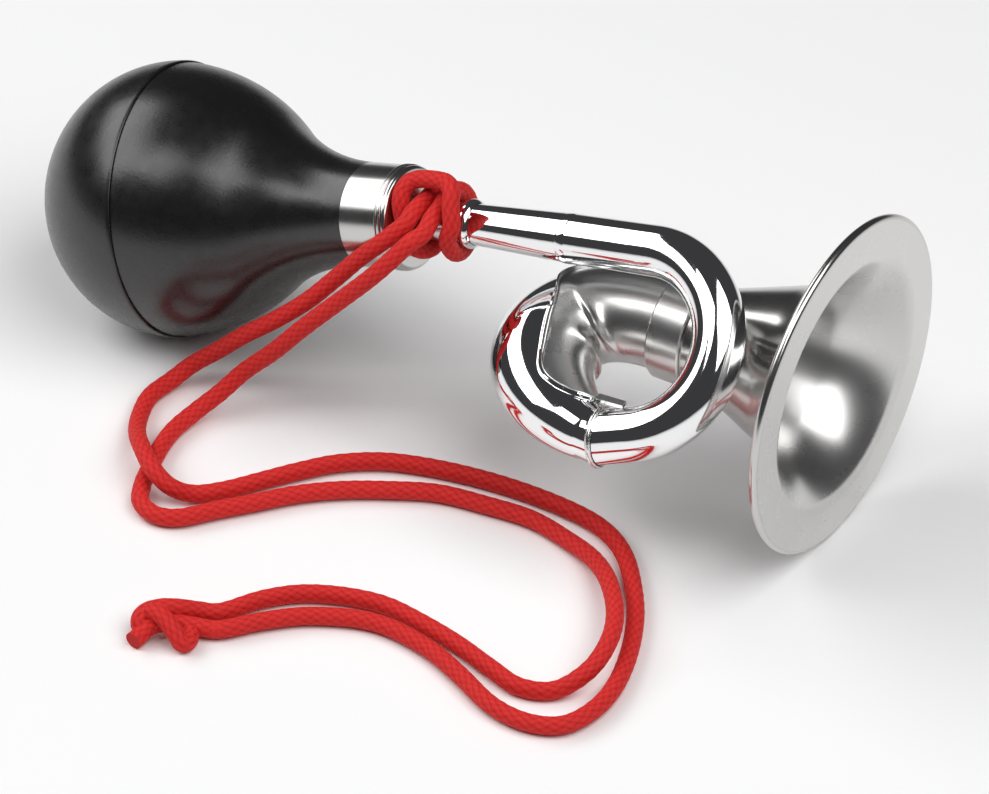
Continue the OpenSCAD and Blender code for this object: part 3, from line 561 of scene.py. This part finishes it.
sleeve_len, sleeve_lap, sleeve_bore, sleeve_side, sleeve_r, sleeve_round = 8, 4, 11.5, 12.1, 12.3, 0.3
sleeve_x = throat_x + sleeve_lap - sleeve_len - shell_gap
sleeve_end = sleeve_x + sleeve_len
sleeve_line = [(sleeve_x, sleeve_bore), (sleeve_x, sleeve_side), (sleeve_x + sleeve_round, sleeve_r),
               (sleeve_end - sleeve_round, sleeve_r), (sleeve_end, sleeve_side), (sleeve_end, sleeve_bore)]
sleeve = turned("throat_sleeve_band", sleeve_line, bell_middle, bell_axis, satin)
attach(sleeve, "horn")
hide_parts("throat_sleeve")

# Lanyard
# One red braided cord, doubled: its middle is hitched round the neck, and its two runs lie on the table
# and end in a knot. The braid is a sleeve of flat yarns that cross over and under each other.
cord_d, rest = 3.9, 2.25
far_route = [(-97, -20, 55), (-101, -23, 50.5), (-106, -24, 45), (-112, -25, 37.5), (-118, -27, 30.5),
             (-125, -29, 24), (-132, -30, 18), (-139, -30, 11), (-145, -31, 5.5), (-148, -35, 2.5),
             (-149, -42, rest), (-147, -49, rest), (-143, -56, 4), (-137, -63, 7), (-131, -68, 7.25),
             (-126, -69, 5), (-122, -66, 2.5), (-117, -61, rest), (-112, -54, rest), (-107, -47, rest),
             (-101, -40, rest), (-92, -34, rest), (-79, -30, rest), (-65, -28, rest), (-51, -28, rest),
             (-41, -30, rest), (-33, -35, rest), (-26, -43, rest), (-20, -52, rest), (-15, -63, rest),
             (-12, -74, rest), (-12, -83, rest), (-15, -90, rest), (-22, -93, rest), (-31, -92, rest),
             (-42, -87, rest), (-53, -83, rest), (-66, -82, rest), (-78, -87, rest), (-86, -94, rest),
             (-92, -101, rest)]
near_route = [(-94, -23, 53), (-97, -26, 49), (-101, -28, 44), (-108, -29, 36), (-116, -31, 27),
              (-123, -32, 18.5), (-130, -33, 11), (-134, -37, 6), (-137, -42, 3), (-138, -49, rest),
              (-137, -56, rest), (-135, -63, rest), (-133, -69, rest), (-130, -74, rest), (-125, -76, rest),
              (-120, -74, rest), (-115, -68, rest), (-109, -61, rest), (-103, -54, rest), (-96, -48, rest),
              (-88, -43, rest), (-78, -38, rest), (-67, -36, rest), (-56, -35, rest), (-46, -37, rest),
              (-37, -41, 3.5), (-29, -48, 5.5), (-22, -57, 6.5), (-18, -66, 6.75), (-18, -74, 4.5),
              (-22, -81, rest), (-29, -84, rest), (-37, -82, rest), (-47, -79, rest), (-57, -77, rest),
              (-67, -76, rest), (-76, -78, rest), (-84, -82, rest), (-90, -88, rest), (-95, -96, rest)]
far_route = [mouth + Vector(p) for p in far_route]
near_route = [mouth + Vector(p) for p in near_route]
hitch_left = [(-3.4, 44, 1), (-5.8, 34, 0.9), (-6.5, 18, 0.62), (-6.6, -8, 0.14), (-6.5, -40, 0.03),
              (-6.4, -75, 0), (-6.1, -110, 0), (-5.7, -145, 0), (-5.3, -180, 0), (-4.7, -215, 0),
              (-4, -250, 0), (-3, -285, 0), (-2.3, -316, 0), (-2.2, -340, 0.3), (-2.1, -358, 0.88)]
hitch_right = [(3.4, 44, 1), (6.2, 34, 0.9), (6.6, 18, 0.65), (6.6, -8, 0.34), (4.6, -35, 0.2),
               (3, -75, 0), (2.2, -110, 0), (1.6, -145, 0), (1.3, -180, 0), (1.3, -215, 0), (1.6, -250, 0),
               (2, -285, 0), (2.3, -316, 0), (2.3, -342, 0.12), (2.1, -362, 0.56), (1.5, -378, 1.05)]
hitch_at, hitch_turn, hitch_in, hitch_out = 71, 235, 6.75, 11.5
hitch_down = square_to(Vector((0, 0, -1)), bulb_axis)
hitch_away = bulb_axis.cross(hitch_down)
knot_x, knot_y, knot_cos, knot_sin = -103.4, -106.7, 0.85, 0.527
core_keys = ((7, -0.4, 2.6), (2, 0.2, 3), (-2, -1, 2.9), (-4.3, -3.5, 2.3), (-5.4, -4.8, 2.1),
             (-6.5, -6.4, 2.1))
bar_keys = ((8, 4, 3.2), (3.8, 2.9, 4.8), (0, 2.4, 5.2), (-3.2, 1.2, 4.8), (-4.2, -0.6, 3.4),
            (-2.6, -1.6, 2.2), (0, -2, 2.1))
wrap_keys = ((-4, 3, 5), (-2.4, 1.6, 5.2), (0.6, -1.2, 5.9), (3, -4, 4.4), (4.8, -5.8, 2.4),
             (6.2, -4.6, 2.1), (6.4, -1.8, 2.1), (6, 0, 2.1))


def hitch_point(along, degrees, outward):
    turn = math.radians(hitch_turn - degrees)
    out = math.cos(turn) * hitch_down + math.sin(turn) * hitch_away
    return bulb_middle + (hitch_at + along) * bulb_axis + mix(hitch_in, hitch_out, outward) * out


def knot_point(across, away, height):
    x = knot_x + knot_cos * across - knot_sin * away
    y = knot_y + knot_sin * across + knot_cos * away
    return mouth + Vector((x, y, height))


def smooth(keys, steps):
    """A smooth line through the keys; the first and last key only give its direction."""
    line = []
    for a, b, c, d in zip(keys, keys[1:], keys[2:], keys[3:]):
        for k in range(steps):
            t = k / steps
            line.append(0.5 * (2 * b + (c - a) * t + (2 * a - 5 * b + 4 * c - d) * t * t
                               + (3 * b - a - 3 * c + d) * t ** 3))
    return line + [keys[-2]]


hitch_keys = far_route[1::-1]
hitch_keys += [hitch_point(*key) for key in hitch_left[::-1] + hitch_right] + near_route[:2]
knot_core = far_route[-2:] + [knot_point(*key) for key in core_keys]
knot_bar = near_route[-2:] + [knot_point(*key) for key in bar_keys]
knot_wrap = [knot_point(*key) for key in wrap_keys]
far_line = smooth([hitch_keys[2]] + far_route + [knot_core[2]], 6)
near_line = smooth([hitch_keys[-3]] + near_route + [knot_bar[2]], 6)


def worked_out(nodes, links, kind, a, b=None):
    """The output of a math node, from numbers or sockets."""
    node = nodes.new("ShaderNodeMath")
    node.operation = kind
    for slot, value in zip(node.inputs, (a, b)):
        if isinstance(value, (int, float)):
            slot.default_value = value
        elif value is not None:
            links.new(value, slot)
    return node.outputs[0]


def braid_tree():
    """A round cord along a line, with yarns that cross in diamonds round it."""
    upper, lower, mean_height, cap_corners = 0.65, 0.35, 0.75, 5
    tree = bpy.data.node_groups.new("braided_cord", "GeometryNodeTree")
    sockets = new_sockets(tree, (("Line", "Geometry"), ("Radius", "Float"), ("Ring Step", "Float"),
                                 ("Sides", "Int"), ("Yarn Length", "Float"), ("Yarns Round", "Float"),
                                 ("Relief", "Float"), ("Finish", "Material")), (("Cord", "Geometry"),))
    nodes, links = tree.nodes, tree.links
    given, put = nodes.new("NodeGroupInput"), nodes.new("NodeGroupOutput")

    def sum_of(kind, a, b=None):
        return worked_out(nodes, links, kind, a, b)

    line = nodes.new("GeometryNodeMeshToCurve")
    links.new(given.outputs["Line"], line.inputs["Mesh"])
    even = nodes.new("GeometryNodeResampleCurve")
    even.mode = "LENGTH"
    links.new(line.outputs["Curve"], even.inputs["Curve"])
    links.new(given.outputs["Ring Step"], even.inputs["Length"])
    along = nodes.new("GeometryNodeCaptureAttribute")
    along.capture_items.new("FLOAT", "Along")
    links.new(even.outputs["Curve"], along.inputs["Geometry"])
    links.new(nodes.new("GeometryNodeSplineParameter").outputs["Length"], along.inputs["Along"])
    circle = nodes.new("GeometryNodeCurvePrimitiveCircle")
    links.new(given.outputs["Sides"], circle.inputs["Resolution"])
    links.new(given.outputs["Radius"], circle.inputs["Radius"])
    turn = nodes.new("GeometryNodeCaptureAttribute")
    turn.capture_items.new("FLOAT", "Turn")
    links.new(circle.outputs["Curve"], turn.inputs["Geometry"])
    links.new(nodes.new("GeometryNodeSplineParameter").outputs["Factor"], turn.inputs["Turn"])
    tube = nodes.new("GeometryNodeCurveToMesh")
    tube.inputs["Fill Caps"].default_value = True
    links.new(along.outputs["Geometry"], tube.inputs["Curve"])
    links.new(turn.outputs["Geometry"], tube.inputs["Profile Curve"])
    round_it = sum_of("MULTIPLY", turn.outputs["Turn"], given.outputs["Yarns Round"])
    run = sum_of("DIVIDE", along.outputs["Along"], given.outputs["Yarn Length"])
    right, left = sum_of("ADD", round_it, run), sum_of("SUBTRACT", round_it, run)
    cell = sum_of("FLOORED_MODULO", sum_of("ADD", sum_of("FLOOR", right), sum_of("FLOOR", left)), 2)

    def crown(value):
        off = sum_of("SUBTRACT", sum_of("MULTIPLY", sum_of("FRACT", value), 2), 1)
        return sum_of("SUBTRACT", 1, sum_of("MULTIPLY", off, off))

    over = sum_of("ADD", sum_of("MULTIPLY", crown(right), lower), sum_of("MULTIPLY", crown(left), upper))
    under = sum_of("ADD", sum_of("MULTIPLY", crown(right), upper), sum_of("MULTIPLY", crown(left), lower))
    other_cell = sum_of("SUBTRACT", 1, cell)
    height = sum_of("ADD", sum_of("MULTIPLY", cell, over), sum_of("MULTIPLY", other_cell, under))
    rise = sum_of("MULTIPLY", sum_of("SUBTRACT", height, mean_height), given.outputs["Relief"])
    lift = nodes.new("ShaderNodeVectorMath")
    lift.operation = "SCALE"
    links.new(nodes.new("GeometryNodeInputNormal").outputs["Normal"], lift.inputs[0])
    links.new(rise, lift.inputs["Scale"])
    shaped = nodes.new("GeometryNodeSetPosition")
    links.new(tube.outputs["Mesh"], shaped.inputs["Geometry"])
    links.new(lift.outputs["Vector"], shaped.inputs["Offset"])
    store = nodes.new("GeometryNodeStoreNamedAttribute")
    store.data_type = "FLOAT"
    store.domain = "POINT"
    store.inputs["Name"].default_value = "yarn"
    links.new(shaped.outputs["Geometry"], store.inputs["Geometry"])
    links.new(height, store.inputs["Value"])
    corners = nodes.new("GeometryNodeInputMeshFaceNeighbors").outputs["Vertex Count"]
    soft = nodes.new("GeometryNodeSetShadeSmooth")
    links.new(store.outputs["Geometry"], soft.inputs["Geometry"])
    links.new(sum_of("LESS_THAN", corners, cap_corners), soft.inputs["Selection"])
    whole = nodes.new("GeometryNodeRealizeInstances")
    links.new(soft.outputs["Geometry"], whole.inputs["Geometry"])
    finish = nodes.new("GeometryNodeSetMaterial")
    links.new(whole.outputs["Geometry"], finish.inputs["Geometry"])
    links.new(given.outputs["Finish"], finish.inputs["Material"])
    links.new(finish.outputs["Geometry"], put.inputs["Cord"])
    return tree, sockets


crevice_shade_deep, crevice_shade_clear, fibre_share, yarn_relief = 0.2, 0.95, 0.5, 0.0001
red_cord, nodes, links, shader = new_material("red_braid")
yarn = nodes.new("ShaderNodeAttribute")
yarn.attribute_name = "yarn"
# The colour ramp paints shade into the braid: the red is darker where the yarns dip between the crossings
# and lighter on their crowns.
braid_crevice_shade = nodes.new("ShaderNodeValToRGB")
braid_crevice_shade.color_ramp.elements[0].position = crevice_shade_deep
braid_crevice_shade.color_ramp.elements[0].color = (0.45, 0.012, 0.011, 1)
braid_crevice_shade.color_ramp.elements[1].position = crevice_shade_clear
braid_crevice_shade.color_ramp.elements[1].color = (0.72, 0.03, 0.027, 1)
links.new(yarn.outputs["Fac"], braid_crevice_shade.inputs["Fac"])
links.new(braid_crevice_shade.outputs["Color"], shader.inputs["Base Color"])
shader.inputs["Roughness"].default_value = 0.7
shader.inputs["Specular IOR Level"].default_value = 0.2
shader.inputs["Sheen Weight"].default_value = 0.08
shader.inputs["Sheen Roughness"].default_value = 0.5
shader.inputs["Sheen Tint"].default_value = (1.0, 0.35, 0.3, 1)
fibre = noise(nodes, links, nodes.new("ShaderNodeTexCoord").outputs["Object"], 2600, 3)
fuzz = worked_out(nodes, links, "MULTIPLY", fibre, fibre_share)
relief(nodes, links, worked_out(nodes, links, "ADD", yarn.outputs["Fac"], fuzz), shader, yarn_relief, 0.8)

braid, braid_sockets = braid_tree()
braid_sizes = (("Radius", cord_d / 2 * mm), ("Ring Step", 0.00045), ("Sides", 32), ("Yarn Length", 0.0028),
               ("Yarns Round", 8.0), ("Relief", 0.00014), ("Finish", red_cord))


def braided(name, lines):
    mesh = bpy.data.meshes.new(name + "_line")
    points, edges = [], []
    for line in lines:
        first = len(points)
        points += [p * mm for p in line]
        edges += [(first + k, first + k + 1) for k in range(len(line) - 1)]
    mesh.from_pydata(points, edges, [])
    guide = bpy.data.objects.new(name + "_guide", mesh)
    bpy.context.collection.objects.link(guide)
    modifier = guide.modifiers.new("braid", "NODES")
    modifier.node_group = braid
    for label, value in braid_sizes:
        modifier[braid_sockets[label]] = value
    made = guide.evaluated_get(bpy.context.evaluated_depsgraph_get())
    cord = bpy.data.objects.new(name, bpy.data.meshes.new_from_object(made))
    bpy.context.collection.objects.link(cord)
    guide.modifiers.remove(modifier)
    bpy.data.objects.remove(guide)
    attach(cord, "horn")
    return cord


hitch_line, core_line, bar_line = smooth(hitch_keys, 8), smooth(knot_core, 8), smooth(knot_bar, 8)
hitch = braided("lanyard_hitch_cord", [hitch_line])
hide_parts("lanyard_hitch")
knot = braided("lanyard_knot_cord", [core_line, bar_line, smooth(knot_wrap, 8)])
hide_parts("lanyard_knot")
runs = (("lanyard_far", hitch_line[2:0:-1], far_line, core_line[1:3], [hitch, knot]),
        ("lanyard_near", hitch_line[-3:-1], near_line, bar_line[1:3], []))
for name, lead, line, after, others in runs:
    run = braided(name + "_cord", [lead + line + after])
    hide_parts(name)
    run_lengths(line)[-1] * mm

# Table, light and camera
# The horn lies on a white table under soft studio light. A pool of light is painted on the table: white
# round the horn, fading to grey further off, so the metal reflects a darker room. The camera stands where
# the photograph's did, well away with a long lens.
table_r, pool_white_to, pool_grey_from, pool_white, pool_grey = 2.5, 0.25, 0.7, 0.94, 0.62
floor_bm = bmesh.new()
bmesh.ops.create_circle(floor_bm, cap_ends=True, segments=96, radius=table_r)
white, nodes, links, shader = new_material("table_painted_light_pool")
# Painted pool of light: the table is white near the horn and painted greyer with distance, as if the light
# fell off.
away = nodes.new("ShaderNodeVectorMath")
away.operation = "DISTANCE"
away.inputs[1].default_value = (0.03, -0.03, 0)
links.new(nodes.new("ShaderNodeTexCoord").outputs["Object"], away.inputs[0])
painted_light_pool = nodes.new("ShaderNodeValToRGB")
for stop, position, level in zip(painted_light_pool.color_ramp.elements, (pool_white_to, pool_grey_from), (pool_white, pool_grey)):
    stop.position = position
    stop.color = (level, level, level, 1)
links.new(away.outputs["Value"], painted_light_pool.inputs["Fac"])
links.new(painted_light_pool.outputs["Color"], shader.inputs["Base Color"])
shader.inputs["Roughness"].default_value = 0.9
floor = piece_from("table_top", floor_bm, white)

scene = bpy.context.scene
world = bpy.data.worlds.new("studio")
world.use_nodes = True
scene.world = world
world.node_tree.nodes["Background"].inputs["Color"].default_value = (0.045, 0.045, 0.047, 1)
lit_point = Vector((0, 0, 0.04))


def soft_light(name, place, width, height, watts):
    lamp = bpy.data.lights.new(name, "AREA")
    lamp.shape = "RECTANGLE"
    lamp.size, lamp.size_y = width, height
    lamp.energy = watts
    box = bpy.data.objects.new(name, lamp)
    box.location = place
    box.rotation_euler = (lit_point - Vector(place)).to_track_quat("-Z", "Y").to_euler()
    bpy.context.collection.objects.link(box)


soft_light("left_softbox", (-0.872, -0.185, 0.843), width=1.38, height=0.69, watts=9.3)
soft_light("front_softbox", (-0.276, -0.592, 1.046), width=0.42, height=0.55, watts=2.2)
soft_light("right_softbox", (0.644, -0.114, 1.046), width=1.17, height=0.95, watts=11.1)

azimuth, elevation, reach = math.radians(31.78), math.radians(37.6), 1.694
sensor, picture_width, focal_pixels = 36, 989, 8000
aim = mouth + Vector((-66.4, -33.2, 29.7))
behind = Vector((math.sin(azimuth) * math.cos(elevation), -math.cos(azimuth) * math.cos(elevation),
                 math.sin(elevation)))
lens = bpy.data.cameras.new("camera")
lens.sensor_width = sensor
lens.lens = sensor * focal_pixels / picture_width
camera = bpy.data.objects.new("camera", lens)
camera.location = aim * mm + reach * behind
camera.rotation_euler = behind.to_track_quat("Z", "Y").to_euler()
bpy.context.collection.objects.link(camera)
scene.camera = camera
scene.view_settings.view_transform = "Standard"
